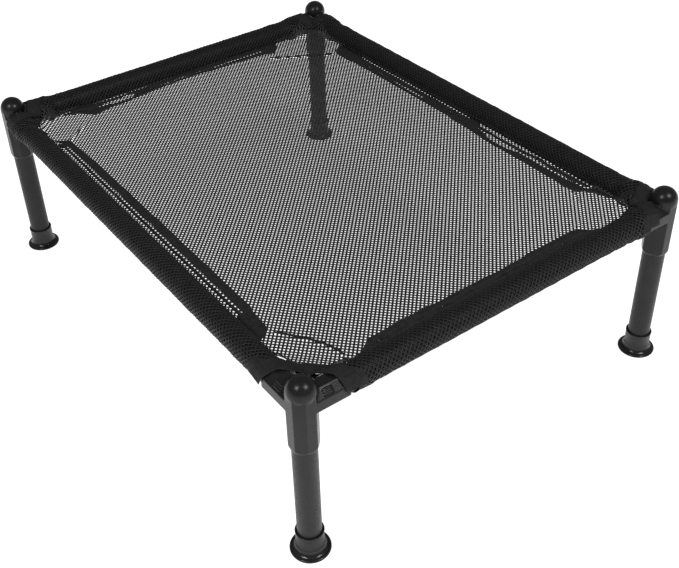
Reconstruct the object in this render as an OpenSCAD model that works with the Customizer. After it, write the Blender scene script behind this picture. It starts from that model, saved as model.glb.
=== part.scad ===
// Raised mesh cot for a small dog: four legs on feet, four corner connectors, four rails
// and a mesh sling whose sleeves run over the rails.
// Millimetres, Z up, origin on the floor under the middle of the frame.
// The short sides are front (-Y) and back (+Y), the long sides are left (-X) and right (+X).

/* [Frame] */
// Distance between leg axes along a short side
leg_span_x = 421; // [300:1:900]
// Distance between leg axes along a long side
leg_span_y = 573; // [300:1:1200]
// Height of the rail axes above the floor
rail_z = 174; // [130:1:300]
// Outside diameter of the steel tube in legs and rails
tube_d = 22; // [16:0.5:32]
// Wall of the steel tube
tube_wall = 1.2; // [0.8:0.1:2.5]
// Gap all round between a tube and the bore that takes it
tube_fit = 0.05; // [0.02:0.01:0.1]

/* [Connectors] */
// Plastic left outside a tube at the middle of each flat
socket_wall = 1.3; // [1:0.1:4]
// Length of rail held in each arm
arm_grip = 25.5; // [15:0.5:60]
// Length of leg held in the socket, which is how far the leg slides to come out
leg_grip = 33.5; // [15:0.5:60]
// Plastic left between the end of any tube and its neighbour
stop_wall = 2.5; // [1.5:0.1:6]
// Tapered length at the lower end of the leg socket
socket_taper = 4; // [1:0.5:10]
// Ball radius beyond the middle of a socket flat
ball_over = 0.7; // [0:0.1:4]
// Ball centre above the rail axes
ball_rise = 13.5; // [8:0.5:30]
// Thickness of the web between the arms
web_t = 3; // [2:0.5:8]
// How far the web stops short of the end of each arm
web_short = 1.6; // [0.5:0.1:10]
// Depth of the hollow in the free edge of the web
web_hollow = 3.4; // [1:0.1:8]
// Raised ribs on the upper outer facet of each arm
rib_count = 3; // [1:1:5]
// Height of a rib above its facet
rib_h = 0.6; // [0.3:0.1:1.5]
// Width of a rib
rib_w = 0.9; // [0.5:0.1:2]

/* [Feet] */
// Outside diameter of the flange on the floor
flange_d = 37; // [28:0.5:60]
// Thickness of the flange at its rim
flange_t = 2.4; // [1.5:0.1:6]
// Wall of the foot collar
collar_wall = 1.5; // [1:0.1:4]
// Height of the foot
foot_h = 24; // [12:0.5:50]
// Height of the lip round the top of the collar
lip_h = 1.4; // [0.5:0.1:3]
// How far the lip stands out from the collar
lip_over = 0.4; // [0.1:0.1:2]
// Floor under the leg inside the foot
foot_floor = 4; // [2:0.5:10]

/* [Sling] */
// Cloth thickness, one layer
cloth_t = 0.9; // [0.5:0.1:2]
// Gap between rail and sleeve
sleeve_fit = 0.3; // [0.1:0.05:1]
// Bare rail between the end of an arm and the sleeve
bare_rail = 6; // [1:0.5:20]
// Seam line of a sleeve, inward of the rail axis
seam_in = 24; // [16:0.5:50]
// Seam line below the rail axes
seam_drop = 4.6; // [0:0.1:10]
// Width of the hem band inward of the seam
hem_w = 9; // [4:0.5:30]
// Distance from a corner axis to the end of the hem, at the rail axis
hem_start = 62.5; // [40:0.5:120]
// Width of the tape that binds each corner cut-out
tape_w = 12; // [5:0.5:25]
// Thickness of that tape
tape_t = 2; // [1:0.1:4]
// Gap between the tape and the hard parts beside it
tape_gap = 0.3; // [0.1:0.1:2]

/* [Hidden] */
fine = 96;
tube_r = tube_d / 2;
bore_r = tube_r + tube_fit;
flat_r = bore_r + socket_wall;                      // centre to flat of the eight-sided sockets
vertex_r = flat_r / cos(22.5);
stop_in = tube_r + stop_wall;                       // corner axis to the end of a rail
arm_len = stop_in + arm_grip;
ball_r = flat_r + ball_over;
half_x = leg_span_x / 2;
half_y = leg_span_y / 2;
leg_top = rail_z - stop_in;
socket_end = leg_top - leg_grip;
web_end = arm_len - web_short;                      // corner axis to the end of the web
web_run = web_end - flat_r;
web_chord = web_run / sqrt(2);                      // half the straight line across the web edge
web_arc_r = (web_chord * web_chord + web_hollow * web_hollow) / (2 * web_hollow);
web_arc_c = flat_r + web_run / 2 + (web_arc_r - web_hollow) / sqrt(2);
collar_r = bore_r + collar_wall;
flange_r = flange_d / 2;
flare_r = min(flange_r - collar_r - 0.5, foot_h - flange_t - lip_h - 2);
sleeve_r = tube_r + sleeve_fit;
sleeve_out = sleeve_r + cloth_t;
sleeve_end = arm_len + bare_rail;
edge_in = max(flat_r, sleeve_out) + tape_gap;       // cloth edge beside an arm or a sleeve
panel_z = rail_z - seam_drop;                       // mid height of the cloth
hem_in = seam_in + hem_w;
cut_out = 2 * flat_r + web_run + tape_gap * 2;      // a + b along the outer edge of the tape
cut_in = cut_out + tape_w * sqrt(2);                // a + b along its inner edge
seam_t = 2 * cloth_t;

steel = "#3a3a3c";
plastic = "#2e2e30";
rubber = "#161617";
cloth = "#1d1d1e";

// ---- places ----

// Corner frame: X and Y run inward along the two rails, from the leg axis.
module at_corner(side_x, side_y) {
    translate([side_x * half_x, side_y * half_y, 0])
        mirror([side_x > 0 ? 1 : 0, 0, 0])
            mirror([0, side_y > 0 ? 1 : 0, 0]) children();
}

// Side frame: X runs along the rail from its middle, Y runs inward, Z = 0 on the rail axis.
module at_side(turn, away) {
    rotate([0, 0, turn]) translate([0, -away, rail_z]) children();
}

// ---- hard parts ----

module octagon() {
    rotate(22.5) circle(r = vertex_r, $fn = 8);
}

module post() {
    intersection() {
        translate([0, 0, socket_end]) linear_extrude(rail_z + ball_rise - socket_end) octagon();
        union() {
            translate([0, 0, socket_end])
                cylinder(h = socket_taper, r1 = bore_r + 0.4, r2 = vertex_r + 0.1, $fn = fine);
            translate([0, 0, socket_end + socket_taper])
                cylinder(h = rail_z, r = vertex_r + 0.1, $fn = fine);
        }
    }
    translate([0, 0, rail_z + ball_rise]) sphere(r = ball_r, $fn = fine);
}

// An arm along +X with its ribs on the upper facet away from the panel.
module arm() {
    rotate([90, 0, 90]) linear_extrude(arm_len) octagon();
    rib_len = arm_grip / 3;
    rotate([45, 0, 0])
        for (i = [0 : rib_count - 1])
            translate([vertex_r + 1, (i - (rib_count - 1) / 2) * 2.4 * rib_w - rib_w / 2,
                       flat_r - rib_h])
                cube([rib_len, rib_w, 2 * rib_h]);
}

module web() {
    linear_extrude(web_t, center = true)
        difference() {
            polygon([[0, 0], [web_end, 0], [web_end, flat_r], [flat_r, web_end], [0, web_end]]);
            translate([web_arc_c, web_arc_c]) circle(r = web_arc_r, $fn = fine);
        }
}

module connector() {
    color(plastic) difference() {
        union() {
            post();
            translate([0, 0, rail_z]) {
                arm();
                mirror([1, -1, 0]) arm();
                web();
            }
        }
        translate([0, 0, socket_end - 1]) cylinder(h = leg_grip + 1, r = bore_r, $fn = fine);
        translate([stop_in, 0, rail_z])
            rotate([0, 90, 0]) cylinder(h = arm_grip + 1, r = bore_r, $fn = fine);
        translate([0, stop_in, rail_z])
            rotate([-90, 0, 0]) cylinder(h = arm_grip + 1, r = bore_r, $fn = fine);
    }
}

module leg() {
    color(steel) translate([0, 0, foot_floor]) difference() {
        cylinder(h = leg_top - foot_floor, r = tube_r, $fn = fine);
        translate([0, 0, -1])
            cylinder(h = leg_top, r = tube_r - tube_wall, $fn = fine);
    }
}

module foot() {
    color(rubber) rotate_extrude($fn = fine) difference() {
        union() {
            square([flange_r, flange_t]);
            square([collar_r, foot_h]);
            translate([0, foot_h - lip_h]) square([collar_r + lip_over, lip_h]);
            difference() {
                square([collar_r + flare_r, flange_t + flare_r]);
                translate([collar_r + flare_r, flange_t + flare_r])
                    circle(r = flare_r, $fn = fine);
            }
        }
        translate([0, foot_floor]) square([bore_r, foot_h]);
    }
}

// A rail between the stops of its two arms; reach is half the leg span along it.
module rail(reach) {
    color(steel) rotate([0, 90, 0]) difference() {
        cylinder(h = 2 * (reach - stop_in), r = tube_r, center = true, $fn = fine);
        cylinder(h = 2 * reach, r = tube_r - tube_wall, center = true, $fn = fine);
    }
}

// ---- cloth parts ----

// Section of a sleeve between the rail and its seam. Its straight sides are tangent to a circle
// a little smaller than the sleeve's own, so that they cross the sleeve at a clear angle.
module drop(r_sleeve, tip_in, tip_t) {
    r = r_sleeve - cloth_t / 3;
    away = norm([tip_in, seam_drop]);
    tilt = atan2(-seam_drop, tip_in);
    spread = acos(r / away);
    polygon([[0, 0],
             [r * cos(tilt - spread), r * sin(tilt - spread)],
             [tip_in, -seam_drop - tip_t / 2],
             [tip_in, -seam_drop + tip_t / 2],
             [r * cos(tilt + spread), r * sin(tilt + spread)]]);
}

// Plan of the sewn part of a side, from y0 inward to y1, with ends cut at 45 degrees.
module sewn_plan(reach, y0, y1) {
    x0 = reach - hem_start - y0;
    x1 = reach - hem_start - y1;
    polygon([[-x0, y0], [x0, y0], [x1, y1], [-x1, y1]]);
}

module sleeve(reach) {
    color(cloth) difference() {
        union() {
            rotate([0, 90, 0])
                cylinder(h = 2 * (reach - sleeve_end), r = sleeve_out, center = true, $fn = fine);
            intersection() {
                rotate([90, 0, 90]) linear_extrude(2 * reach, center = true)
                    drop(sleeve_out, seam_in, seam_t);
                linear_extrude(4 * sleeve_out, center = true)
                    sewn_plan(reach, 0, seam_in);
            }
        }
        rotate([0, 90, 0]) cylinder(h = 2 * reach, r = sleeve_r, center = true, $fn = fine);
        rotate([90, 0, 90]) linear_extrude(2 * reach, center = true)
            drop(sleeve_r, seam_in - 2 * cloth_t, 0.1);
    }
}

module hem(reach) {
    color(cloth) translate([0, 0, -seam_drop]) linear_extrude(seam_t, center = true)
        sewn_plan(reach, seam_in, hem_in);
}

module tape() {
    color(cloth) translate([0, 0, panel_z]) linear_extrude(tape_t, center = true)
        polygon([[edge_in, cut_out - edge_in], [cut_out - edge_in, edge_in],
                 [cut_in - edge_in, edge_in], [edge_in, cut_in - edge_in]]);
}

module mesh_panel() {
    far = hem_start + hem_in;
    near = hem_start + edge_in;
    // Outline at one corner, as distances inward from the corner axis, and the signs of the
    // four corners in turn; every second corner is walked backwards.
    bend = [[hem_in, far], [edge_in, near], [edge_in, cut_in - edge_in],
            [cut_in - edge_in, edge_in], [near, edge_in], [far, hem_in]];
    signs = [[-1, -1], [1, -1], [1, 1], [-1, 1]];
    last = len(bend) - 1;
    color(cloth) translate([0, 0, panel_z]) linear_extrude(cloth_t, center = true)
        polygon([for (k = [0 : 3]) for (i = [0 : last])
                 let (p = bend[k % 2 == 0 ? i : last - i])
                 [signs[k][0] * (half_x - p[0]), signs[k][1] * (half_y - p[1])]]);
}

at_corner(-1, -1) connector();  // connector_front_left
at_corner(1, -1) connector();  // connector_front_right
at_corner(-1, 1) connector();  // connector_back_left
at_corner(1, 1) connector();  // connector_back_right
at_corner(-1, -1) leg();  // leg_front_left
at_corner(1, -1) leg();  // leg_front_right
at_corner(-1, 1) leg();  // leg_back_left
at_corner(1, 1) leg();  // leg_back_right
at_corner(-1, -1) foot();  // foot_front_left
at_corner(1, -1) foot();  // foot_front_right
at_corner(-1, 1) foot();  // foot_back_left
at_corner(1, 1) foot();  // foot_back_right
at_side(0, half_y) rail(half_x);  // rail_front
at_side(180, half_y) rail(half_x);  // rail_back
at_side(270, half_x) rail(half_y);  // rail_left
at_side(90, half_x) rail(half_y);  // rail_right
at_side(0, half_y) sleeve(half_x);  // sleeve_front
at_side(180, half_y) sleeve(half_x);  // sleeve_back
at_side(270, half_x) sleeve(half_y);  // sleeve_left
at_side(90, half_x) sleeve(half_y);  // sleeve_right
at_side(0, half_y) hem(half_x);  // hem_front
at_side(180, half_y) hem(half_x);  // hem_back
at_side(270, half_x) hem(half_y);  // hem_left
at_side(90, half_x) hem(half_y);  // hem_right
at_corner(-1, -1) tape();  // tape_front_left
at_corner(1, -1) tape();  // tape_front_right
at_corner(-1, 1) tape();  // tape_back_left
at_corner(1, 1) tape();  // tape_back_right
mesh_panel();
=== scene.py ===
import math

import bmesh
import bpy
import numpy as np
from mathutils import Matrix, Vector


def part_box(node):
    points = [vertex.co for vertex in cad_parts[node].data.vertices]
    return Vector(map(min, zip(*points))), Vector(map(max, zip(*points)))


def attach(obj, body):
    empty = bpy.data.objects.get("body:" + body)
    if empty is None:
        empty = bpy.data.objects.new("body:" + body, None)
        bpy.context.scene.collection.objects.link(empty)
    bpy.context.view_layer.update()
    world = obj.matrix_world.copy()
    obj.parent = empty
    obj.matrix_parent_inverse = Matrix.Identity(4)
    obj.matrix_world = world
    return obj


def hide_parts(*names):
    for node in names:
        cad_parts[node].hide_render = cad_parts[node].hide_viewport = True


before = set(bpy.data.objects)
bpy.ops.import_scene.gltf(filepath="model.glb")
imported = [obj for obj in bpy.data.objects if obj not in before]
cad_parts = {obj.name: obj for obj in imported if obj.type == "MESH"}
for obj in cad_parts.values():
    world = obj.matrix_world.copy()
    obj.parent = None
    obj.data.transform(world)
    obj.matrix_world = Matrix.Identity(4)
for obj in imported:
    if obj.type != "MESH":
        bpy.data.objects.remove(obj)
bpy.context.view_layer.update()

MM = 0.001


# ---- camera ----

# Place in metres, lens and sensor in millimetres, shift in sensor widths
CAMERA_AT = Vector((-0.5152, -0.7681, 0.7406))
CAMERA_AZIMUTH = math.radians(-34.685)
CAMERA_ELEVATION = math.radians(35.875)
CAMERA_ROLL = math.radians(-2.177)
CAMERA_LENS = 54.612
CAMERA_SENSOR = 36
CAMERA_SHIFT = (0.0198, -0.0663)


def make_camera():
    """A camera looking down at the near corner; its own Z axis points back from the object."""
    back = Vector((math.sin(CAMERA_AZIMUTH) * math.cos(CAMERA_ELEVATION),
                   -math.cos(CAMERA_AZIMUTH) * math.cos(CAMERA_ELEVATION),
                   math.sin(CAMERA_ELEVATION)))
    level = Vector((0, 0, 1)).cross(back).normalized()
    upright = back.cross(level)
    right = math.cos(CAMERA_ROLL) * level + math.sin(CAMERA_ROLL) * upright
    up = -math.sin(CAMERA_ROLL) * level + math.cos(CAMERA_ROLL) * upright
    data = bpy.data.cameras.new("camera")
    data.lens = CAMERA_LENS
    data.sensor_width = CAMERA_SENSOR
    data.shift_x, data.shift_y = CAMERA_SHIFT
    camera = bpy.data.objects.new("camera", data)
    turn = Matrix((right, up, back)).transposed().to_4x4()
    camera.matrix_world = Matrix.Translation(CAMERA_AT) @ turn
    bpy.context.scene.collection.objects.link(camera)
    bpy.context.scene.camera = camera


make_camera()


# ---- sizes read from the frame ----

def middle(node):
    low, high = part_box(node)
    return (low + high) / 2


CORNERS = {"front_left": (-1, -1), "front_right": (1, -1),
           "back_left": (-1, 1), "back_right": (1, 1)}
SIDES = {"front": 0, "right": 90, "back": 180, "left": 270}

HALF_X = middle("leg_front_right").x
HALF_Y = middle("leg_back_right").y
LEG_LOW, LEG_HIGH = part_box("leg_front_right")
TUBE_R = (LEG_HIGH.x - LEG_LOW.x) / 2
RAIL_Z = middle("rail_front").z
PANEL_Z = middle("mesh_panel").z
SEAM_DROP = RAIL_Z - PANEL_Z
SLEEVE_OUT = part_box("sleeve_front")[1].z - RAIL_Z
SEAM_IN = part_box("hem_front")[0].y + HALF_Y
HEM_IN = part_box("hem_front")[1].y + HALF_Y
HEM_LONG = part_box("hem_front")[1].x
HEM_START = HALF_X - HEM_LONG - SEAM_IN
TAPE_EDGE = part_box("tape_front_left")[0].x + HALF_X
ARM_LEN = HALF_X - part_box("connector_front_right")[0].x
FOOT_LOW, FOOT_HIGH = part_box("foot_front_right")
REACH = {"front": HALF_X, "back": HALF_X, "left": HALF_Y, "right": HALF_Y}


# ---- small helpers ----

def add_object(name, verts, faces, material):
    """A smooth-shaded mesh object. faces is a list of arrays, one for each number of corners."""
    verts = np.asarray(verts, float).reshape(-1, 3)
    groups = [np.asarray(group) for group in faces if len(group)]
    corners = np.concatenate([group.ravel() for group in groups])
    sizes = np.concatenate([np.full(len(group), group.shape[1]) for group in groups])
    mesh = bpy.data.meshes.new(name)
    mesh.vertices.add(len(verts))
    mesh.vertices.foreach_set("co", verts.ravel())
    mesh.loops.add(len(corners))
    mesh.loops.foreach_set("vertex_index", corners)
    mesh.polygons.add(len(sizes))
    mesh.polygons.foreach_set("loop_start", np.cumsum(sizes) - sizes)
    mesh.polygons.foreach_set("use_smooth", np.ones(len(sizes), bool))
    mesh.update(calc_edges=True)
    mesh.materials.append(material)
    obj = bpy.data.objects.new(name, mesh)
    bpy.context.scene.collection.objects.link(obj)
    return obj


def tube_faces(rows, ring, first=0, closed=False):
    """Quads that join rows of ring points, and the end caps unless the rows close on themselves."""
    row = np.arange(rows if closed else rows - 1)[:, None]
    step = np.arange(ring)[None]
    after, turn = (row + 1) % rows, (step + 1) % ring
    quads = np.stack(np.broadcast_arrays(row * ring + step, after * ring + step,
                                         after * ring + turn, row * ring + turn), axis=-1)
    last = (rows - 1) * ring
    caps = [] if closed else [np.arange(ring), last + np.arange(ring)[::-1]]
    return quads.reshape(-1, 4) + first, [cap + first for cap in caps]


def smoothstep(x):
    x = np.clip(x, 0.0, 1.0)
    return x * x * (3 - 2 * x)


def unit(v):
    return v / np.maximum(np.linalg.norm(v, axis=-1, keepdims=True), 1e-12)


# ---- materials ----

def principled(name, color, roughness, **sockets):
    """A node material whose uniform values sit on the shader's own sockets."""
    material = bpy.data.materials.new(name)
    material.use_nodes = True
    shader = material.node_tree.nodes["Principled BSDF"]
    shader.inputs["Base Color"].default_value = (*color, 1)
    shader.inputs["Roughness"].default_value = roughness
    for socket, value in sockets.items():
        shader.inputs[socket.replace("_", " ")].default_value = value
    return material


def add_node(material, kind, **values):
    node = material.node_tree.nodes.new(kind)
    for key, value in values.items():
        if key in node.inputs.keys():
            node.inputs[key].default_value = value
        else:
            setattr(node, key, value)
    return node


def placed_node(material, kind, **values):
    """A node that works on places on the object, in metres."""
    node = add_node(material, kind, **values)
    place = add_node(material, "ShaderNodeTexCoord").outputs["Object"]
    material.node_tree.links.new(place, node.inputs["Vector"])
    return node


def noise(material, scale, detail=4.0):
    return placed_node(material, "ShaderNodeTexNoise", Scale=scale, Detail=detail).outputs["Fac"]


def set_roughness(material, source, source_range, roughness_range):
    """Roughness that follows a source socket from one range to the other."""
    tree = material.node_tree
    names = ("From Min", "From Max", "To Min", "To Max")
    limits = dict(zip(names, (*source_range, *roughness_range)))
    spread = add_node(material, "ShaderNodeMapRange", **limits)
    tree.links.new(source, spread.inputs["Value"])
    tree.links.new(spread.outputs["Result"],
                   tree.nodes["Principled BSDF"].inputs["Roughness"])


ROUGHNESS_NOISE = (0.3, 0.7)     # the noise values that give the lowest and highest roughness
COLOR_NOISE = (0.35, 0.65)       # and the darkest and lightest colour


def vary_roughness(material, source, low, high):
    set_roughness(material, source, ROUGHNESS_NOISE, (low, high))


def vary_color(material, source, dark, light):
    tree = material.node_tree
    ramp = add_node(material, "ShaderNodeValToRGB")
    for stop, position, color in zip(ramp.color_ramp.elements, COLOR_NOISE, (dark, light)):
        stop.position = position
        stop.color = (*color, 1)
    tree.links.new(source, ramp.inputs["Fac"])
    tree.links.new(ramp.outputs["Color"], tree.nodes["Principled BSDF"].inputs["Base Color"])


def add_bump(material, source, height, strength=1.0):
    """Bump of a height in metres from a 0 to 1 source, on top of any bump there is."""
    tree = material.node_tree
    bump = add_node(material, "ShaderNodeBump", Distance=height, Strength=strength)
    target = tree.nodes["Principled BSDF"].inputs["Normal"]
    if target.links:
        tree.links.new(target.links[0].from_socket, bump.inputs["Normal"])
    tree.links.new(source, bump.inputs["Height"])
    tree.links.new(bump.outputs["Normal"], target)


def make_plastic():
    """Moulded plastic with a fine satin grain, a little uneven in colour and gloss."""
    material = principled("connector_plastic", (0.009, 0.009, 0.010), 0.28,
                          Specular_IOR_Level=0.22)
    vary_color(material, noise(material, 60), (0.007, 0.007, 0.008), (0.012, 0.012, 0.013))
    vary_roughness(material, noise(material, 220), 0.24, 0.31)
    add_bump(material, noise(material, 2600, 2), 0.00003)
    return material


def make_paint(name):
    """Satin powder coat with its fine orange peel."""
    material = principled(name, (0.016, 0.016, 0.017), 0.40, Specular_IOR_Level=0.20)
    vary_color(material, noise(material, 40), (0.013, 0.013, 0.014), (0.019, 0.019, 0.020))
    vary_roughness(material, noise(material, 300), 0.34, 0.46)
    add_bump(material, noise(material, 1400, 3), 0.00006)
    return material


def make_foot_material():
    """Satin collar above a glossy flange."""
    material = principled("foot_plastic", (0.011, 0.011, 0.012), 0.4, Specular_IOR_Level=0.32)
    height = placed_node(material, "ShaderNodeSeparateXYZ").outputs["Z"]
    set_roughness(material, height, (FLARE_TOP * 0.7, FLARE_TOP * 1.1), (0.18, 0.42))
    vary_color(material, noise(material, 90), (0.010, 0.010, 0.011), (0.015, 0.015, 0.016))
    add_bump(material, noise(material, 1800, 2), 0.00003)
    return material


def make_yarn(name, shade, gloss=0.35):
    """Coated black yarn: soft gloss with a fibrous surface."""
    material = principled(name, (shade, shade, shade * 1.04), 0.5, Specular_IOR_Level=gloss)
    vary_color(material, noise(material, 150), (shade * 0.8,) * 3, (shade * 1.25,) * 3)
    vary_roughness(material, noise(material, 900), 0.42, 0.62)
    add_bump(material, noise(material, 4000, 3), 0.00006)
    return material


def make_tape_material():
    """Fine ribbed polyester tape."""
    material = principled("binding_tape", (0.009, 0.009, 0.009), 0.75,
                          Specular_IOR_Level=0.3)
    wave = placed_node(material, "ShaderNodeTexWave", Scale=450.0, Distortion=0.4)
    vary_color(material, noise(material, 120), (0.007,) * 3, (0.012,) * 3)
    vary_roughness(material, noise(material, 500), 0.66, 0.84)
    add_bump(material, wave.outputs["Fac"], 0.00012)
    add_bump(material, noise(material, 3500, 2), 0.00005)
    return material


def make_folded_material():
    """Mesh folded and sewn down on itself: nearly black, with the weave showing as relief."""
    material = principled("hem_folded", (0.009, 0.009, 0.0095), 0.7, Specular_IOR_Level=0.3)
    cells = placed_node(material, "ShaderNodeTexVoronoi", Scale=320.0)
    vary_color(material, noise(material, 200), (0.006,) * 3, (0.013,) * 3)
    vary_roughness(material, noise(material, 700), 0.6, 0.8)
    add_bump(material, cells.outputs["Distance"], 0.0004)
    return material


# ---- mesh cloth ----

CELL_X = 4.73 * MM      # spacing of the holes along X
CELL_Y = 5.02 * MM      # spacing of the holes along Y
YARN_W = 1.88 * MM      # width of a strand
YARN_T = 0.9 * MM       # thickness of a strand
YARN_STEP = 8.8 * MM    # length of a straight piece of strand in the panel
SLEEVE_STEP = 4.2 * MM  # and in a sleeve, which is round
SUB_STEPS = 6           # a straight piece can be split into this many where the cloth bends
YARN_SIDES = 6
SHORTEST = 0.6 * MM     # no strand is shorter than this
CROSS_LIFT = 0.12 * MM  # one family of strands lies this far above the middle, one below


def clip_line(point, direction, outline):
    """The stretches of a line that lie inside an outline, as pairs of distances along it."""
    cuts = []
    for (x0, y0), (x1, y1) in zip(outline, outline[1:] + outline[:1]):
        side0 = direction[0] * (y0 - point[1]) - direction[1] * (x0 - point[0])
        side1 = direction[0] * (y1 - point[1]) - direction[1] * (x1 - point[0])
        if (side0 < 0) != (side1 < 0):
            t = side0 / (side0 - side1)
            x, y = x0 + t * (x1 - x0), y0 + t * (y1 - y0)
            cuts.append((x - point[0]) * direction[0] + (y - point[1]) * direction[1])
    cuts.sort()
    return list(zip(cuts[::2], cuts[1::2]))


def strand_points(outline, step, fine):
    """Every strand of both families inside an outline, as (family, points in cloth metres)."""
    strands = []
    outline_array = np.array(outline)
    for family in (1, -1):
        direction = unit(np.array([CELL_X / 2, family * CELL_Y / 2]))
        across = np.array([-direction[1], direction[0]])
        pitch = abs(CELL_X * across[0])
        reach = outline_array @ across
        for k in range(math.floor(reach.min() / pitch), math.ceil(reach.max() / pitch) + 1):
            point = across * (k * pitch)
            for start, end in clip_line(point, direction, outline):
                if end - start >= SHORTEST:
                    points = sample_strand(point, direction, start, end, step, fine)
                    strands.append((family, points))
    return strands


def sample_strand(point, direction, start, end, step, fine):
    """Points along one stretch, closer together where fine(points) says so."""
    count = max(1, round((end - start) / (step / SUB_STEPS)))
    along = np.linspace(start, end, count + 1)
    points = point + along[:, None] * direction
    index = np.arange(count + 1)
    keep = index % SUB_STEPS == 0
    keep[-1] = True
    if fine is not None:
        finest, finer = fine(points)
        keep |= finest | (finer & (index % 2 == 0))
    return points[keep]


TINY = 0.05 * MM        # the step that gives a surface's directions


def on_surface(surface, flat):
    """Places on a cloth surface, its normals and its two directions there."""
    place = surface(flat)
    du = surface(flat + [TINY, 0]) - place
    dv = surface(flat + [0, TINY]) - place
    return place, unit(np.cross(du, dv)), du, dv


def net_mesh(outline, surface, step=YARN_STEP, fine=None):
    """Verts and faces of open mesh cloth. surface(points) maps cloth metres to the row frame."""
    angles = np.arange(YARN_SIDES) * 2 * math.pi / YARN_SIDES
    ring_side, ring_up = np.cos(angles) * YARN_W / 2, np.sin(angles) * YARN_T / 2
    strands = strand_points(outline, step, fine)
    flat = np.concatenate([points for _, points in strands])
    family = np.concatenate([np.full(len(points), side) for side, points in strands])
    place, normal, du, dv = on_surface(surface, flat)
    along = unit(du * CELL_X / 2 + dv * (family * CELL_Y / 2)[:, None])
    side = unit(np.cross(along, normal))
    center = place + normal * (family * CROSS_LIFT)[:, None]
    verts = (center[:, None] + side[:, None] * ring_side[:, None]
             + normal[:, None] * ring_up[:, None])
    quads, caps, first = [], [], 0
    for _, points in strands:
        more, ends = tube_faces(len(points), YARN_SIDES, first)
        quads.append(more)
        caps += ends
        first += len(points) * YARN_SIDES
    return verts.reshape(-1, 3), [np.concatenate(quads), np.array(caps)]


# ---- the sling's own shape, corner by corner ----

# For each corner, from its axis, a along X and b along Y: where the sleeves along X and along Y
# end, on the outside and on top of the arm; how far along the arms the middle of the bound edge
# crosses them, and its a + b halfway between them; how high the cloth rises there; whether the
# fold that the pull of the corner leaves is a sewn-down pleat; and the fold's line in mm.
# A sewn-down pleat is drawn as a solid near-black strip: doubled mesh, and painted shadow along the
# fold.
SLING = {
    "front_left": {
        "end_x": (46 * MM, 34 * MM), "end_y": (51 * MM, 34 * MM),
        "tape_top": 37 * MM, "tape_mid": 51.8 * MM, "rise": 6.0 * MM, "pleat": True,
        "fold": [(31, 85), (40, 74), (47, 64), (52, 56), (56, 48), (59.4, 38), (61, 29)]},
    "front_right": {
        "end_x": (33 * MM, 17 * MM), "end_y": (25 * MM, 16 * MM),
        "tape_top": 24.5 * MM, "tape_mid": 33 * MM, "rise": 8.0 * MM, "pleat": False,
        "fold": [(76, 34), (60, 48), (50, 58), (42, 68), (38, 78)]},
    "back_left": {
        "end_x": (24 * MM, 18 * MM), "end_y": (24 * MM, 18 * MM),
        "tape_top": 27 * MM, "tape_mid": 35.5 * MM, "rise": 9.0 * MM, "pleat": False,
        "fold": [(76, 40), (62, 56), (46, 68), (32, 79)]},
    "back_right": {
        "end_x": (27 * MM, 19 * MM), "end_y": (24 * MM, 18 * MM),
        "tape_top": 27.5 * MM, "tape_mid": 39.5 * MM, "rise": 8.0 * MM, "pleat": True,
        "fold": [(38, 90), (52, 81), (66, 73), (84, 62), (104, 50)]},
}
TAPE_ACROSS = 14.5 * MM          # width of the binding tape
TAPE_SUM = TAPE_ACROSS * math.sqrt(2)
TAPE_THICK = 1.5 * MM
RISE_RUN = 46 * MM               # the cloth comes down over this much of a + b
WRAP_R = 14.1 * MM               # the middle of the tape where it lies on an arm
SHOULDER_A = 9 * MM              # beside a rail's axis, where the cloth leaves the sleeve
SHOULDER_RUN = 14 * MM           # from there it comes down over this much
SHOULDER_FADE = 18 * MM          # and it is back to the panel's height this far from the tape
TAPE_SLANT = 0.8                 # how much the bound edge leans back as it comes off an arm
SIDE_GAP = 0.3 * MM              # between the tapes' outer line and the panel's edge
UNDER_TAPE = 1.6 * MM            # the panel's cut runs this far beyond the tape's middle
SAG = 2.5 * MM                   # how deep the panel hangs in its middle
BOWL = 0.7                       # below 1 the sag is wide and flat
FOLD_H = 1.1 * MM                # height and width of a fold's ridge
FOLD_W = 1.6 * MM
FOLD_REACH = 2.2 * FOLD_W        # strands are at their finest this near a fold
FOLD_ROUNDING = 3                # passes that round a fold's corners off


def corner_ab(points):
    """Distances inward from the nearest corner's axis, along X and along Y."""
    a = HALF_X - np.abs(points[:, 0])
    b = HALF_Y - np.abs(points[:, 1])
    return a, b


def at_corner(corner, a, b):
    side_x, side_y = CORNERS[corner]
    return side_x * (HALF_X - a), side_y * (HALF_Y - b)


def near_polyline(a, b, line):
    """Distance from points (a, b) to a polyline."""
    best = np.full(len(a), 1e9)
    for (x0, y0), (x1, y1) in zip(line[:-1], line[1:]):
        dx, dy = x1 - x0, y1 - y0
        t = np.clip(((a - x0) * dx + (b - y0) * dy) / (dx * dx + dy * dy), 0, 1)
        best = np.minimum(best, np.hypot(a - x0 - t * dx, b - y0 - t * dy))
    return best


def fold_line(corner):
    """The fold as a smooth line in metres."""
    points = np.array(SLING[corner]["fold"]) * MM
    for _ in range(FOLD_ROUNDING):
        inner = np.concatenate([0.75 * points[:-1] + 0.25 * points[1:],
                                0.25 * points[:-1] + 0.75 * points[1:]], axis=1)
        points = np.vstack([points[:1], inner.reshape(-1, 2), points[-1:]])
    return [tuple(p) for p in points]


FOLDS = {corner: fold_line(corner) for corner in CORNERS}
SHOULDER_Z = RAIL_Z + math.sqrt(WRAP_R ** 2 - SHOULDER_A ** 2)


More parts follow.
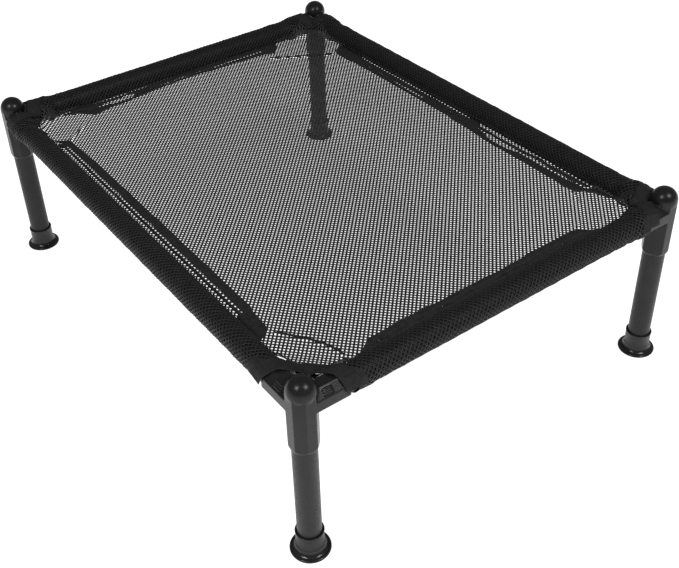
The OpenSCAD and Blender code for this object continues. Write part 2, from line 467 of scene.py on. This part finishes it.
def panel_height(points):
    """Height of the middle of the cloth over the floor."""
    x, y = points[:, 0], points[:, 1]
    a, b = corner_ab(points)
    bowl = (np.clip(1 - (x / (HALF_X - HEM_IN)) ** 2, 0, 1)
            * np.clip(1 - (y / (HALF_Y - HEM_IN)) ** 2, 0, 1))
    z = PANEL_Z - SAG * bowl ** BOWL
    for corner, (side_x, side_y) in CORNERS.items():
        here = (x * side_x > 0) & (y * side_y > 0)
        facts = SLING[corner]
        outer = facts["tape_mid"] - TAPE_SUM / 2
        inner = facts["tape_mid"] + TAPE_SUM / 2
        rise = facts["rise"] * smoothstep((outer + RISE_RUN - a - b) / RISE_RUN)
        beside = 1 - smoothstep((np.minimum(a, b) - SHOULDER_A) / SHOULDER_RUN)
        fade = smoothstep((inner + SHOULDER_FADE - a - b) / SHOULDER_FADE)
        lift = (SHOULDER_Z - z - rise) * beside * fade
        away = near_polyline(a, b, FOLDS[corner])
        ridge = FOLD_H * np.exp(-(away / FOLD_W) ** 2)
        z = z + np.where(here, rise + lift + ridge, 0)
    return z


def panel_surface(points):
    return np.column_stack([points[:, 0], points[:, 1], panel_height(points)])


def near_fold(points):
    """Where the panel needs the shortest pieces of strand, and where it needs short ones."""
    x, y = points[:, 0], points[:, 1]
    a, b = corner_ab(points)
    close, bent = np.zeros(len(points), bool), np.zeros(len(points), bool)
    for corner, (side_x, side_y) in CORNERS.items():
        here = (x * side_x > 0) & (y * side_y > 0)
        close |= here & (near_polyline(a, b, FOLDS[corner]) < FOLD_REACH)
        inner = SLING[corner]["tape_mid"] + TAPE_SUM / 2
        bent |= here & (np.minimum(a, b) < SHOULDER_A + SHOULDER_RUN) & (
            a + b < inner + SHOULDER_FADE)
    return close, bent


def tape_line(corner, count=12):
    """Plan points (a, b) along the middle of the bound edge, from one arm's flank to the other's."""
    facts = SLING[corner]
    end = facts["tape_top"] - TAPE_SLANT * SHOULDER_A
    bow = facts["tape_mid"] / 2
    start, bend = np.array([SHOULDER_A, end]), np.array([bow, bow])
    pull = 2 * bend - (start + start[::-1]) / 2
    t = np.linspace(0, 1, count + 1)[:, None]
    return (1 - t) ** 2 * start + 2 * t * (1 - t) * pull + t ** 2 * start[::-1]


def panel_outline():
    """The sewn-in panel's outline: beside the rails, and under the tapes at the corners."""
    outline = []
    edge = TAPE_EDGE + SIDE_GAP
    for i, corner in enumerate(("front_left", "front_right", "back_right", "back_left")):
        under = tape_line(corner) - UNDER_TAPE
        bend = [(a, b) for a, b in under if min(a, b) > edge + 0.5 * MM]
        first, last = bend[0], bend[-1]
        bend = [(edge, first[1])] + bend + [(last[0], edge)]
        outline += [at_corner(corner, a, b) for a, b in (bend if i % 2 == 0 else bend[::-1])]
    return outline


# ---- sides: rail frame (u along the rail, inward, up) ----

SIDE_ENDS = {"front": ("front_left", "front_right"), "right": ("front_right", "back_right"),
             "back": ("back_right", "back_left"), "left": ("back_left", "front_left")}


def side_to_row(side, u, inward, up):
    """Row-frame points from rail coordinates; up is from the rail axis."""
    turn = math.radians(SIDES[side])
    away = HALF_Y if side in ("front", "back") else HALF_X
    x = u * math.cos(turn) - (inward - away) * math.sin(turn)
    y = u * math.sin(turn) + (inward - away) * math.cos(turn)
    return np.column_stack([x, y, RAIL_Z + up])


def sleeve_ends(side):
    """For both ends of a sleeve, its distances from the corner axis, outside and on top."""
    key = "end_x" if side in ("front", "back") else "end_y"
    return [SLING[corner][key] for corner in SIDE_ENDS[side]]


SLEEVE_MID = SLEEVE_OUT - YARN_T / 2     # radius of the middle of the sleeve's cloth
OVER_ARM = 13.5 * MM                     # the same where it covers a connector's arm
CUFF_UP = 0.3 * MM                       # the middle of a cuff's tape above that
FLARE_RUN = 9 * MM
SEW_IN = TAPE_EDGE + 0.5 * MM            # where a sleeve's two layers meet under its rail
SEAM_TIP = math.hypot(SEW_IN, SEAM_DROP)
SEAM_TILT = math.atan2(-SEAM_DROP, SEW_IN)
UNDER_END = ARM_LEN + 1.5 * MM           # a sleeve's inner side ends clear of the web
UNDER_PAST = 2 * MM                      # and at most this much nearer the corner than outside
SLACK = 0.35 * MM                        # the cloth stands off the rail by up to about this
END_SLACK = 0.75 * MM                    # and by this much more near its ends
END_SLACK_FROM = 95 * MM                 # from the corner axis inward
END_SLACK_RUN = 60 * MM
RIPPLE_GAIN = 1.6
SIDE_POINTS, END_POINTS = 161, 25        # in a sleeve's outline


def ripple(u, v, seed, lengths=(31, 17, 9)):
    """Smooth pseudo-random waves from -1 to 1 over cloth metres."""
    draw = np.random.default_rng(seed)
    total = 0
    for length in lengths:
        for _ in range(3):
            heading = draw.uniform(0, math.pi)
            phase = draw.uniform(0, 2 * math.pi)
            wave = 2 * math.pi / (length * MM)
            total = total + np.sin((u * math.cos(heading) + v * math.sin(heading)) * wave + phase)
    return total / (3 * len(lengths)) * RIPPLE_GAIN


def sleeve_radius(side, u):
    """Radius of the sleeve along the rail, wider over the arms of a connector."""
    radius = np.full(len(u), SLEEVE_MID)
    for sign in (-1, 1):
        from_corner = REACH[side] - sign * u
        flare = smoothstep((ARM_LEN + FLARE_RUN - from_corner) / FLARE_RUN)
        radius = radius + (OVER_ARM - SLEEVE_MID) * flare
    return radius


def seam_distance(side, u, radius):
    """How far the sleeve's seam stands from the rail axis: at the hem, or on the sleeve."""
    from_corner = REACH[side] - np.abs(u)
    return np.maximum(radius * 1.001, np.minimum(from_corner - HEM_START, SEAM_TIP))


def half_girth(side, u):
    """Cloth from the outermost line of the sleeve to its seam."""
    radius = sleeve_radius(side, u)
    away = seam_distance(side, u, radius)
    spread = np.arccos(radius / away)
    return radius * (math.pi - spread) + np.sqrt(away ** 2 - radius ** 2)


def sleeve_surface(side):
    """Cloth metres (along the rail, round it from its outermost line) to the row frame."""
    def surface(points):
        u, v = points[:, 0], points[:, 1]
        radius = sleeve_radius(side, u)
        near_end = (END_SLACK_FROM - REACH[side] + np.abs(u)) / END_SLACK_RUN
        slack = SLACK + END_SLACK * smoothstep(near_end)
        puff = slack * np.clip(0.3 + ripple(u, v, 11 + SIDES[side]), 0, 2)
        puff = puff * smoothstep((1.35 - np.abs(v) / (math.pi * radius)) / 0.5)
        away = seam_distance(side, u, radius)
        spread = np.arccos(radius / away)
        arc = radius * (math.pi - spread)
        turned = np.minimum(np.abs(v), arc) / radius
        angle = math.pi - turned
        beyond = np.maximum(np.abs(v) - arc, 0)
        p_in = (radius + puff) * np.cos(angle) + beyond * np.sin(angle)
        p_up = (radius + puff) * np.sin(angle) - beyond * np.cos(angle)
        p_up = np.where(v < 0, -p_up, p_up)
        inward = p_in * math.cos(SEAM_TILT) - p_up * math.sin(SEAM_TILT)
        up = p_in * math.sin(SEAM_TILT) + p_up * math.cos(SEAM_TILT)
        return side_to_row(side, u, inward, up)
    return surface


def end_sign(which):
    return -1 if which == 0 else 1


def under_end(side, which):
    """Distance from the corner axis to a sleeve's end on its inner side."""
    return max(UNDER_END, sleeve_ends(side)[which][0] - UNDER_PAST)


def sleeve_cut(side, which, v):
    """Where along the rail the sleeve's slanted end lies, at v round the sleeve (top is +)."""
    outer, top = sleeve_ends(side)[which]
    under = under_end(side, which)
    turned = np.clip(np.abs(v) / OVER_ARM, 0, math.pi)
    swing = (1 + np.cos(turned)) / 2
    low = under + (outer - under) * swing
    high = low + (top - (under + outer) / 2) * np.sin(turned) ** 2
    return end_sign(which) * (REACH[side] - np.where(v > 0, high, low))


def sleeve_outline(side):
    """The sleeve's cut, laid flat."""
    ends = []
    for which in (0, 1):
        tip = end_sign(which) * (REACH[side] - under_end(side, which))
        ends.append((tip, half_girth(side, np.array([tip]))[0]))
    u = np.linspace(ends[0][0], ends[1][0], SIDE_POINTS)
    v = half_girth(side, u)
    right = np.linspace(ends[1][1], -ends[1][1], END_POINTS)[1:-1]
    left = np.linspace(-ends[0][1], ends[0][1], END_POINTS)[1:-1]
    return (list(zip(u, v)) + list(zip(sleeve_cut(side, 1, right), right))
            + list(zip(u[::-1], -v[::-1])) + list(zip(sleeve_cut(side, 0, left), left)))


# ---- the sling's pieces ----

yarn_panel = make_yarn("panel_mesh", 0.014)
# The sleeves' yarn is the panel's black yarn painted darker: painted shade that dims the light on
# the sleeves' outer sides.
yarn_sleeve_painted_shade = make_yarn("sleeve_mesh", 0.010, 0.24)
folded = make_folded_material()
tape_material = make_tape_material()
thread = make_yarn("thread", 0.02)


def build_panel():
    outline = panel_outline()
    verts, faces = net_mesh(outline, panel_surface, fine=near_fold)
    panel = add_object("panel_net", verts, faces, yarn_panel)
    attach(panel, "frame")
    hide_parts("mesh_panel")
    return panel, outline


def build_sleeve(side):
    outline = sleeve_outline(side)
    verts, faces = net_mesh(outline, sleeve_surface(side), step=SLEEVE_STEP)
    sleeve = add_object("sleeve_net_" + side, verts, faces, yarn_sleeve_painted_shade)
    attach(sleeve, "frame")
    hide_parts("sleeve_" + side)
    return sleeve, outline


# Every hem is two sewn bands of folded mesh with a row of open mesh on the outer side of each.
# A band is (place along the side, outer edge, inner edge), in mm: the place is X on the front
# and back and Y on the left and right, and the edges are measured in from the rail's axis.
HEM_BANDS = {
    "left": [
        [(-199, 16, 19), (-190, 16, 26), (-168, 16, 26), (-160, 19.9, 22.4), (60, 20.2, 22.6),
         (196, 19.9, 22.4), (206, 15, 24)],
        [(-202, 15, 18), (-193.5, 19, 30), (-170, 24.5, 31.8), (-150, 25, 34.2), (0, 25, 34.6),
         (120, 25.2, 34), (190, 24.8, 32.4), (206, 22, 31.5), (209, 20, 28), (215, 16, 20)]],
    "right": [
        [(-212, 15.6, 18.5), (-204, 16.8, 21.6), (-140, 16.8, 21.6), (-112, 19.3, 22.2),
         (-55, 19.3, 22.2), (-45, 13.4, 22.6), (-20, 15.6, 22.4), (40, 15.6, 23.5),
         (160, 15.6, 23.5), (172, 13.3, 26.5), (203, 13.3, 24), (209, 13.3, 15)],
        [(-238, 13.3, 14.6), (-232.5, 13.3, 17.8), (-220.5, 13.3, 23), (-216, 14, 25.5),
         (-212.5, 21, 28), (-206.5, 23.3, 36.6), (-195, 23.5, 36), (-188, 24.8, 35.4),
         (-121, 25, 34.8), (-109, 29.3, 34.8), (-78, 29.3, 34.8), (-66, 25, 34), (-40, 22, 32),
         (0, 22.4, 30.4), (35, 23.5, 29.8), (45, 26.3, 29.8), (80, 26.3, 29.8),
         (92, 23.5, 29.8), (170, 24, 31), (194.5, 24, 34), (202.5, 20, 28), (210, 14, 16)]],
    "back": [
        [(-150, 13.5, 18), (-128, 13.5, 26), (-120, 19.2, 26.6), (-106, 19.2, 24.5),
         (-78, 19.2, 22), (-70, 19.2, 28), (-45, 19.2, 24), (-30, 17, 24), (20, 14, 24),
         (30, 16.7, 24), (108, 16, 24.4), (116, 13.5, 30), (128, 13.5, 28), (134, 13.5, 18)],
        [(-160, 17, 20), (-156.5, 18, 23), (-144.5, 20, 29), (-137.5, 22, 36),
         (-132.5, 24, 43.5), (-122, 27, 41.5), (-118, 30.4, 40), (-106, 30.4, 38),
         (-100, 33.2, 37.4), (-80, 33.2, 36), (-70, 27, 35.5), (-45, 26.8, 32),
         (-33, 26.7, 30), (10, 26.6, 29.2), (43, 27, 31.6), (77, 27.5, 33.5),
         (108, 28, 35.4), (117, 26, 41.8), (126.5, 20, 34), (136.5, 13.5, 16)]],
    "front": [
        [(-138, 14, 19), (-125, 15.6, 24), (-80, 15.6, 25.4), (90, 15.6, 25.4),
         (126, 15.6, 24), (138, 14, 19)],
        [(-148.5, 18, 20), (-135.5, 19, 22.5), (-126.5, 21, 28), (-120.5, 24, 32),
         (-60, 24.8, 33), (10, 24.8, 31.8), (70, 24.8, 33), (104, 24.8, 34),
         (122.5, 24, 35), (130.5, 21, 32), (138.5, 18, 23), (145, 17, 20)]],
}
HEM_THICK = 1.7 * MM
HEM_LIFT = 0.3 * MM                     # middle of a band above the middle of the panel
BAND_STEP = 1.5 * MM
BAND_ACROSS = 10                        # points across a band
STITCH_LONG, STITCH_EVERY = 2.3 * MM, 3.3 * MM
STITCH_R = 0.28 * MM
STITCH_SIDES = 6
STITCH_INSET = 4                        # mm from a band's second and last but one place
STITCH_ALONG = np.array([0, 0.15, 0.5, 0.85, 1])
STITCH_RISE = np.array([-1.2, 0.2, 0.7, 0.2, -1.2])


def along_side(side, place):
    """u of rail coordinates for X or Y on a side."""
    return -place if side in ("back", "left") else place


def band_edges(band, place):
    """Outer and inner edge of a band at places along its side, a little puckered."""
    table = np.array(band) * MM
    edges = [np.interp(place, table[:, 0], table[:, i]) for i in (1, 2)]
    waves = 0.35 * MM * np.sin(place / (5.3 * MM)) + 0.25 * MM * np.sin(place / (13 * MM) + 2)
    return edges[0] + 0.4 * waves, edges[1] + waves


def band_height(place, share):
    return (-SEAM_DROP + HEM_LIFT + 0.25 * MM * np.sin(place / (11 * MM) + 2 * share)
            + 0.15 * MM * np.sin(place / (3.9 * MM) + 4 * share))


def band_surface(side, band, place, share):
    """Row-frame points on the middle of a band; share runs across it from its outer edge."""
    outer, inner = band_edges(band, place)
    return side_to_row(side, along_side(side, place), outer + share * (inner - outer),
                       band_height(place, share))


def build_band(side, band, number):
    """A flat closed band of folded mesh with soft edges."""
    across = BAND_ACROSS
    ring = 2 * across
    low, high = band[0][0] * MM, band[-1][0] * MM
    count = round((high - low) / BAND_STEP)
    shares = np.linspace(0, 1, across)
    order = np.concatenate([shares, shares[::-1]])
    face_up = np.concatenate([np.ones(across), -np.ones(across)])
    edge = np.sqrt(np.clip(1 - (2 * order - 1) ** 6, 0.03, 1))
    verts = []
    for i in range(count + 1):
        place = low + (high - low) * i / count
        tips = min(1.0, 0.25 + 0.15 * min(i, count - i))
        points = band_surface(side, band, np.full(ring, place), order)
        points[:, 2] += face_up * edge * tips * HEM_THICK / 2
        verts.append(points)
    quads, caps = tube_faces(count + 1, ring)
    hem = add_object("hem_" + side + "_band_" + str(number), np.concatenate(verts),
                     [quads, caps], folded)
    fix_normals(hem)
    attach(hem, "frame")
    return hem


def build_stitches(side, bands):
    """Two rows of lock stitches on the inner band and one on the outer."""
    verts, quads, first = [], [], 0
    angles = np.arange(STITCH_SIDES) * 2 * math.pi / STITCH_SIDES
    for band, share in ((bands[1], 0.2), (bands[1], 0.82), (bands[0], 0.5)):
        low = (band[1][0] + STITCH_INSET) * MM
        high = (band[-2][0] - STITCH_INSET) * MM
        for place in np.arange(low, high, STITCH_EVERY):
            center = band_surface(side, band, place + STITCH_LONG * STITCH_ALONG, share)
            center[:, 2] += HEM_THICK / 2 + STITCH_R * STITCH_RISE
            along = unit(center[-1] - center[0])
            sideways = unit(np.cross(along, [0, 0, 1]))
            ring = (np.cos(angles)[:, None] * sideways
                    + np.sin(angles)[:, None] * np.array([0, 0, 1])) * STITCH_R
            verts.append((center[:, None] + ring).reshape(-1, 3))
            quads.append(tube_faces(len(center), STITCH_SIDES, first)[0])
            first += len(center) * STITCH_SIDES
    stitches = add_object("hem_" + side + "_stitches", np.concatenate(verts),
                          [np.concatenate(quads)], thread)
    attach(stitches, "frame")
    return stitches


def build_hem(side):
    bands = HEM_BANDS[side]
    hems = [build_band(side, band, number) for number, band in enumerate(bands)]
    for hem in hems:
        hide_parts("hem_" + side)
    return hems + [build_stitches(side, bands)]


def flat_ring(ring, width, thick):
    """A flattened section with soft edges, as (across, up) pairs."""
    pairs = []
    for j in range(ring):
        angle = 2 * math.pi * j / ring
        across = math.copysign(abs(math.cos(angle)) ** 0.5, math.cos(angle)) * width / 2
        up = math.copysign(abs(math.sin(angle)) ** 0.8, math.sin(angle)) * thick / 2
        pairs.append((across, up))
    return pairs


def taper(count, tip, growth):
    """Share of full width at each of count places, from tip at both ends."""
    from_end = np.minimum(np.arange(count), np.arange(count)[::-1])
    return np.clip(tip + growth * from_end, 0, 1)[:, None, None]


CUFF_ACROSS = 9 * MM
CUFF_THICK = 0.7 * MM
CUFF_STEPS, CUFF_RING = 95, 16
CUFF_GATHER = 0.45 * MM
PLEAT_ACROSS = 2.3 * MM
PLEAT_THICK = 1.3 * MM
PLEAT_UP = 0.35 * MM                    # middle of a pleat above the middle of the panel
TAPE_RING, PLEAT_RING = 20, 10
TAPE_BACK = 5.5 * MM                    # the tape's middle behind a sleeve's outer end
TAPE_TURNS = range(-58, 128, 6)         # degrees round an arm, from its outer flank upward
TAPE_TURN_OVER = math.radians(95)       # by here the tape is at its place on top
SMOOTHING = 4


def tape_path(corner):
    """Points along the middle of the tape and its normals there, in the row frame: up the
    outside of one sleeve, over the arm, across the corner and down the other sleeve."""
    facts = SLING[corner]
    span = tape_line(corner, 24)
    places, normals = [], []
    for key, flip in (("end_y", False), ("end_x", True)):
        wrap, out = [], []
        for turn in np.radians(TAPE_TURNS):
            a = -WRAP_R * math.cos(turn)
            over = smoothstep(max(0, turn) / TAPE_TURN_OVER)
            b = (facts[key][0] - TAPE_BACK) * (1 - over) + facts["tape_top"] * over
            if a > 0:
                b = b - TAPE_SLANT * a
            wrap.append((b, a) if flip else (a, b))
            out.append((0, -math.cos(turn)) if flip else (-math.cos(turn), 0))
        rows = [(*place, RAIL_Z + math.sqrt(WRAP_R ** 2 - min(place) ** 2)) for place in wrap]
        tilt = [(*side, math.sqrt(max(0, 1 - side[0] ** 2 - side[1] ** 2))) for side in out]
        places.append(np.array(rows))
        normals.append(np.array(tilt))
    heights = []
    for a, b in span:
        heights.append(panel_height(np.array([at_corner(corner, a, b)]))[0])
    middle_part = np.column_stack([span, heights])
    up = np.tile([0.0, 0.0, 1.0], (len(span), 1))
    path = np.vstack([places[0], middle_part[1:-1], places[1][::-1]])
    normal = np.vstack([normals[0], up[1:-1], normals[1][::-1]])
    for _ in range(SMOOTHING):
        path[1:-1] = (path[:-2] + 2 * path[1:-1] + path[2:]) / 4
        normal[1:-1] = (normal[:-2] + 2 * normal[1:-1] + normal[2:]) / 4
    side_x, side_y = CORNERS[corner]
    path = np.column_stack([side_x * (HALF_X - path[:, 0]), side_y * (HALF_Y - path[:, 1]),
                            path[:, 2]])
    normal = unit(normal * [-side_x, -side_y, 1])
    return path, normal


def build_tape(corner):
    """The bound edge of the corner cut-out, over both arms and down the outside of the sleeves."""
    path, normal = tape_path(corner)
    section = np.array(flat_ring(TAPE_RING, TAPE_ACROSS, TAPE_THICK))
    along = unit(np.gradient(path, axis=0))
    across = unit(np.cross(normal, along))
    normal = unit(np.cross(along, across))
    width = taper(len(path), 0.8, 0.07)
    verts = (path[:, None] + across[:, None] * section[None, :, :1] * width
             + normal[:, None] * section[None, :, 1:])
    tape = add_object("tape_" + corner + "_bound", verts,
                      tube_faces(len(path), TAPE_RING), tape_material)
    fix_normals(tape)
    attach(tape, "frame")
    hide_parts("tape_" + corner)
    return tape


def build_pleat(corner):
    """The fold across a corner of the panel: mesh doubled on itself along a narrow line, drawn as a
    solid near-black strip that also paints the shadow along the fold.
    """
    line = np.array([at_corner(corner, a, b) for a, b in FOLDS[corner]])
    heights = panel_height(line)
    path = np.column_stack([line, heights + PLEAT_UP])
    along = unit(np.gradient(path, axis=0))
    across = unit(np.cross([0, 0, 1], along))
    section = np.array(flat_ring(PLEAT_RING, PLEAT_ACROSS, PLEAT_THICK))
    width = taper(len(path), 0.15, 0.12)
    verts = (path[:, None] + across[:, None] * section[None, :, :1] * width
             + np.array([0, 0, 1]) * section[None, :, 1:])
    # The near-black strip is doubled mesh and painted shadow along the fold.
    pleat = add_object("panel_" + corner + "_pleat_and_painted_shadow", verts,
                       tube_faces(len(path), PLEAT_RING), folded)
    fix_normals(pleat)
    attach(pleat, "frame")
    return pleat


def build_cuff(side, which):
    """The tape that binds a sleeve's slanted end, gathered a little round the rail."""
    surface = sleeve_surface(side)
    corner = SIDE_ENDS[side][which]
    sign = end_sign(which)
    tip = np.array([sign * (REACH[side] - under_end(side, which))])
    girth = half_girth(side, tip)[0] * 0.999
    section = np.array(flat_ring(CUFF_RING, CUFF_ACROSS, CUFF_THICK))
    verts = []
    for i in range(CUFF_STEPS + 1):
        v = girth * (2 * i / (CUFF_STEPS + 1) - 1)
        u = sleeve_cut(side, which, np.array([v]))[0] - sign * CUFF_ACROSS / 2
        flat = np.column_stack([u - sign * section[:, 0], np.full(CUFF_RING, v)])
        place, normal, _, _ = on_surface(surface, flat)
        gather = CUFF_GATHER * ripple(np.array([u]), np.array([v]), 40 + SIDES[side], (14, 8))
        height = CUFF_UP + section[:, 1] + np.clip(gather, -0.1 * MM, 1)
        verts.append(place + normal * height[:, None])
    cuff = add_object("cuff_" + side + "_" + corner, np.concatenate(verts),
                      tube_faces(CUFF_STEPS + 1, CUFF_RING, closed=True), tape_material)
    fix_normals(cuff)
    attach(cuff, "frame")
    return cuff


def fix_normals(obj):
    work = bmesh.new()
    work.from_mesh(obj.data)
    bmesh.ops.recalc_face_normals(work, faces=work.faces)
    work.to_mesh(obj.data)
    work.free()


# ---- feet ----

FLANGE_R = (FOOT_HIGH.x - FOOT_LOW.x) / 2
FOOT_H = FOOT_HIGH.z
COLLAR_R = TUBE_R + 1.55 * MM
LIP_R = COLLAR_R + 0.4 * MM
LIP_H = 1.4 * MM
FLANGE_T = 2.4 * MM
FLARE_TOP = 8 * MM
FLARE_STEPS = 8
SOLE_UP = 0.5 * MM       # the middle of the sole stands clear of the floor
BORE_R = TUBE_R + 0.06 * MM
BORE_FLOOR = 4.2 * MM
FOOT_SIDES = 96


def foot_profile():
    """Radius and height round the foot's section, from the middle of its underside."""
    points = [(0, SOLE_UP), (FLANGE_R * 0.62, SOLE_UP), (FLANGE_R * 0.66, 0.0),
              (FLANGE_R - 0.9 * MM, 0.0), (FLANGE_R - 0.25 * MM, 0.3 * MM),
              (FLANGE_R, 1.0 * MM), (FLANGE_R - 0.1 * MM, 1.7 * MM),
              (FLANGE_R - 0.6 * MM, 2.2 * MM)]
    for i in range(FLARE_STEPS + 1):
        angle = math.pi / 2 * i / FLARE_STEPS
        radius = FLANGE_R - 0.9 * MM - (FLANGE_R - 0.9 * MM - COLLAR_R) * math.sin(angle)
        height = FLANGE_T + (FLARE_TOP - FLANGE_T) * (1 - math.cos(angle))
        points.append((radius, height))
    top = FOOT_H
    points += [(COLLAR_R, top - LIP_H - 0.5 * MM), (LIP_R - 0.1 * MM, top - LIP_H),
               (LIP_R, top - LIP_H + 0.3 * MM), (LIP_R, top - 0.4 * MM),
               (LIP_R - 0.3 * MM, top), (TUBE_R + 0.45 * MM, top),
               (BORE_R, top - 0.5 * MM), (BORE_R, BORE_FLOOR),
               (0, 4.0 * MM)]
    return points


def build_foot(corner, material):
    side_x, side_y = CORNERS[corner]
    profile, around = np.array(foot_profile()), FOOT_SIDES
    angle = np.arange(around) * 2 * math.pi / around
    radius, height = profile[1:-1, 0][:, None], profile[1:-1, 1][:, None]
    rings = np.stack(np.broadcast_arrays(side_x * HALF_X + radius * np.cos(angle),
                                         side_y * HALF_Y + radius * np.sin(angle), height), -1)
    poles = [(side_x * HALF_X, side_y * HALF_Y, profile[i, 1]) for i in (0, -1)]
    verts = np.concatenate([rings.reshape(-1, 3), poles])
    quads, _ = tube_faces(len(profile) - 2, around)
    step = np.arange(around)
    last = len(verts) - 2 - around
    fans = [np.column_stack([step, (step + 1) % around, np.full(around, len(verts) - 2)]),
            np.column_stack([last + step, last + (step + 1) % around,
                             np.full(around, len(verts) - 1)])]
    faces = [quads, *fans]
    foot = add_object("foot_" + corner + "_turned", verts, faces, material)
    fix_normals(foot)
    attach(foot, corner + "_leg")
    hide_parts("foot_" + corner)
    return foot


# ---- connectors ----

VOXEL = 0.48 * MM
EDGE_SMOOTHING = 8      # passes that round the moulding's edges


def rounded_copy(node):
    """A copy of a CAD node's mesh with its edges rounded as a moulding's are."""
    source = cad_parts[node]
    mesh = source.data.copy()
    obj = bpy.data.objects.new("rounding", mesh)
    bpy.context.scene.collection.objects.link(obj)
    work = bmesh.new()
    work.from_mesh(mesh)
    bmesh.ops.remove_doubles(work, verts=work.verts, dist=1e-6)
    work.to_mesh(mesh)
    work.free()
    remesh = obj.modifiers.new("remesh", "REMESH")
    remesh.mode = "VOXEL"
    remesh.voxel_size = VOXEL
    smooth = obj.modifiers.new("smooth", "SMOOTH")
    smooth.factor = 0.5
    smooth.iterations = EDGE_SMOOTHING
    graph = bpy.context.evaluated_depsgraph_get()
    result = bpy.data.meshes.new_from_object(obj.evaluated_get(graph))
    bpy.data.objects.remove(obj)
    return result


def build_connectors(material):
    base = rounded_copy("connector_front_left")
    for corner, (side_x, side_y) in CORNERS.items():
        mesh = base.copy()
        mesh.transform(Matrix.Diagonal((-side_x, -side_y, 1, 1)))
        if side_x * side_y < 0:
            mesh.flip_normals()
        mesh.materials.clear()
        mesh.materials.append(material)
        mesh.polygons.foreach_set("use_smooth", [True] * len(mesh.polygons))
        obj = bpy.data.objects.new("connector_" + corner + "_moulded", mesh)
        bpy.context.scene.collection.objects.link(obj)
        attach(obj, "frame")
        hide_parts("connector_" + corner)


# ---- put together ----

build_connectors(make_plastic())
foot_material = make_foot_material()
for corner in CORNERS:
    build_foot(corner, foot_material)

leg_paint = make_paint("leg_paint")
rail_paint = make_paint("rail_paint")
for name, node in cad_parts.items():
    if name.startswith(("leg_", "rail_")):
        paint = leg_paint if name.startswith("leg_") else rail_paint
        node.data.materials.clear()
        node.data.materials.append(paint)

panel, cut = build_panel()
hems = [piece for side in SIDES for piece in build_hem(side)]
tapes = [build_tape(corner) for corner in CORNERS]
pleats_and_painted_shadow = [build_pleat(corner) for corner in CORNERS if SLING[corner]["pleat"]]
for side in SIDES:
    sleeve, cut = build_sleeve(side)
    cuffs = [build_cuff(side, which) for which in (0, 1)]


# ---- floor, light ----

# Metres and watts
FLOOR_REACH = 6.0
FLOOR_GLOW = 0.9         # keeps the pale floor free of dark shadows
WORLD_LIGHT = 0.25
LIGHT_SIZE = (0.50, 0.50)
LIGHT_POWER = 17
LIGHT_AIM = (0, 0, 0.1)
LIGHTS = {"key": (-1.37, -0.48, 1.65), "fill": (0.33, -1.41, 1.65)}


def build_floor():
    size = FLOOR_REACH
    mesh = bpy.data.meshes.new("floor")
    mesh.from_pydata([(-size, -size, 0), (size, -size, 0), (size, size, 0), (-size, size, 0)],
                     [], [(0, 1, 2, 3)])
    floor = bpy.data.objects.new("floor", mesh)
    bpy.context.scene.collection.objects.link(floor)
    material = principled("floor", (0.6, 0.6, 0.6), 0.9)
    shader = material.node_tree.nodes["Principled BSDF"]
    shader.inputs["Emission Color"].default_value = (1, 1, 1, 1)
    shader.inputs["Emission Strength"].default_value = FLOOR_GLOW
    mesh.materials.append(material)


def area_light(name, place):
    data = bpy.data.lights.new(name, "AREA")
    data.shape = "RECTANGLE"
    data.size, data.size_y = LIGHT_SIZE
    data.energy = LIGHT_POWER
    light = bpy.data.objects.new(name, data)
    light.location = place
    aim = Vector(LIGHT_AIM) - Vector(place)
    light.rotation_euler = aim.to_track_quat("-Z", "Y").to_euler()
    bpy.context.scene.collection.objects.link(light)


def build_light():
    scene = bpy.context.scene
    scene.view_settings.view_transform = "Standard"
    scene.cycles.use_denoising = False     # it blurs the mesh cloth's holes into lines
    world = bpy.data.worlds.new("studio")
    world.use_nodes = True
    background = world.node_tree.nodes["Background"]
    background.inputs["Color"].default_value = (1, 1, 1, 1)
    background.inputs["Strength"].default_value = WORLD_LIGHT
    scene.world = world
    for name, place in LIGHTS.items():
        area_light(name, place)


build_floor()
build_light()
